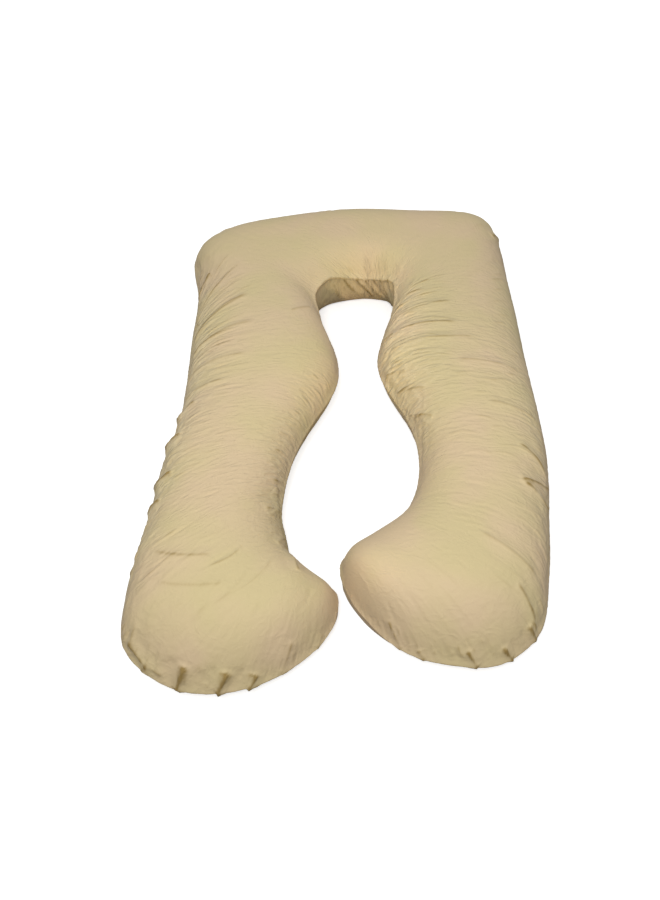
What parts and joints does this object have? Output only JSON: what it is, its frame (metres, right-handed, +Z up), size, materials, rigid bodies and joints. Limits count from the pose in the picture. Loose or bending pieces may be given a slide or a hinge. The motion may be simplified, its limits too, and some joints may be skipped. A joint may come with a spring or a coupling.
{
  "type": "pregnancy pillow",
  "caption": "U-shaped full-body pregnancy pillow: a filled cloth cushion with a straight head bolster, a narrow waist gap and two long legs that end in broad inturned feet.",
  "frame": {"origin": "on the surface the pillow lies on, under the middle of its bounding box", "axes": "+Y towards the head bolster, +Z up from the surface the pillow lies on, +X towards the right-hand leg as seen from above with the head bolster at the top"},
  "size_m": [0.9202, 1.4958, 0.1993],
  "materials": {
    "cotton": "plain khaki woven cotton, matte"
  },
  "bodies": {
    "root": {"pillow": "cotton"}
  },
  "joints": []
}
